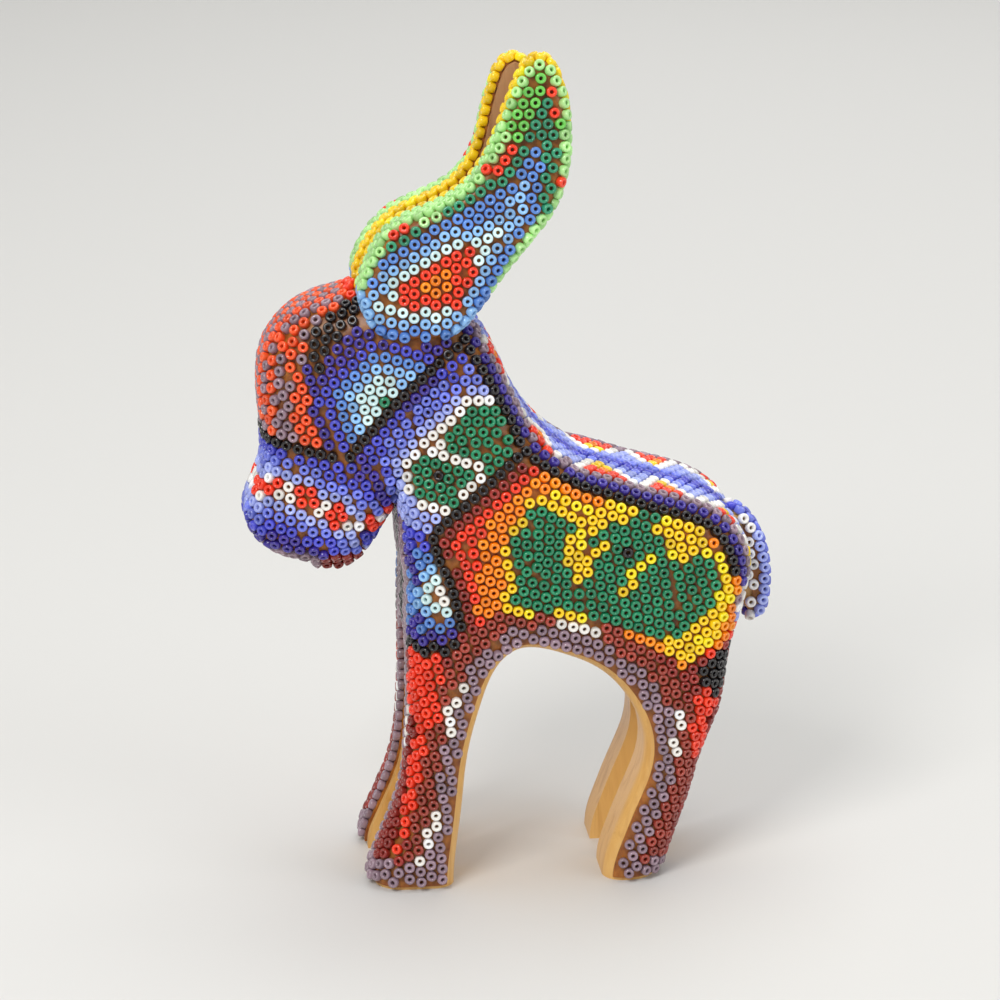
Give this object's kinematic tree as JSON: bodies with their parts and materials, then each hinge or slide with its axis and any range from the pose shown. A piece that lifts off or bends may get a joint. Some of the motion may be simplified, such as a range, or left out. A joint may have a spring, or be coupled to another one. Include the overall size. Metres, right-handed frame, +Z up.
{
  "type": "beaded donkey figure",
  "caption": "Folk-art donkey figure of carved wood with tall ears, coated in amber wax and covered with glass seed beads laid in bright patterns; legs straddle an arch",
  "frame": {"origin": "middle of the bounding box at the height of the soles of the feet", "axes": "+Z up, the head towards -X, the figure's left side towards -Y"},
  "size_m": [0.1036, 0.0386, 0.1632],
  "materials": {
    "carved_wood": "satin varnish",
    "dowel_wood": "plain",
    "wax": "waxy",
    "glass_black": "gloss",
    "glass_brown": "gloss",
    "glass_cobalt": "gloss",
    "glass_dark_green": "gloss",
    "glass_dark_red": "gloss",
    "glass_green": "gloss",
    "glass_lavender": "gloss",
    "glass_light_blue": "gloss",
    "glass_light_green": "gloss",
    "glass_light_periwinkle": "gloss",
    "glass_medium_blue": "gloss",
    "glass_navy": "gloss",
    "glass_orange": "gloss",
    "glass_orange_red": "gloss",
    "glass_pale": "gloss",
    "glass_pale_green": "gloss",
    "glass_periwinkle": "gloss",
    "glass_red": "gloss",
    "glass_white": "gloss",
    "glass_yellow": "gloss"
  },
  "bodies": {
    "root": {"beads_back_black": "glass_black", "beads_back_cobalt": "glass_cobalt", "beads_back_lavender": "glass_lavender", "beads_back_light_periwinkle": "glass_light_periwinkle", "beads_back_navy": "glass_navy", "beads_back_orange": "glass_orange", "beads_back_periwinkle": "glass_periwinkle", "beads_back_red": "glass_red", "beads_back_white": "glass_white", "beads_back_yellow": "glass_yellow", "beads_ears_dark_green": "glass_dark_green", "beads_ears_light_blue": "glass_light_blue", "beads_ears_light_green": "glass_light_green", "beads_ears_medium_blue": "glass_medium_blue", "beads_ears_orange": "glass_orange", "beads_ears_pale": "glass_pale", "beads_ears_pale_green": "glass_pale_green", "beads_ears_red": "glass_red", "beads_ears_yellow": "glass_yellow", "beads_flank_black": "glass_black", "beads_flank_dark_red": "glass_dark_red", "beads_flank_green": "glass_green", "beads_flank_orange": "glass_orange", "beads_flank_red": "glass_red", "beads_flank_yellow": "glass_yellow", "beads_head_black": "glass_black", "beads_head_cobalt": "glass_cobalt", "beads_head_dark_red": "glass_dark_red", "beads_head_green": "glass_green", "beads_head_lavender": "glass_lavender", "beads_head_light_blue": "glass_light_blue", "beads_head_light_periwinkle": "glass_light_periwinkle", "beads_head_medium_blue": "glass_medium_blue", "beads_head_navy": "glass_navy", "beads_head_orange_red": "glass_orange_red", "beads_head_pale": "glass_pale", "beads_head_periwinkle": "glass_periwinkle", "beads_head_red": "glass_red", "beads_head_white": "glass_white", "beads_legs_black": "glass_black", "beads_legs_brown": "glass_brown", "beads_legs_dark_red": "glass_dark_red", "beads_legs_lavender": "glass_lavender", "beads_legs_red": "glass_red", "beads_legs_white": "glass_white", "body_wood": "carved_wood", "ear_dowel_left": "dowel_wood", "ear_dowel_right": "dowel_wood", "ear_left": "carved_wood", "ear_right": "carved_wood", "tail": "carved_wood", "tail_peg": "dowel_wood", "wax_body": "wax", "wax_ear_left": "wax", "wax_ear_right": "wax", "wax_tail": "wax"}
  },
  "joints": []
}
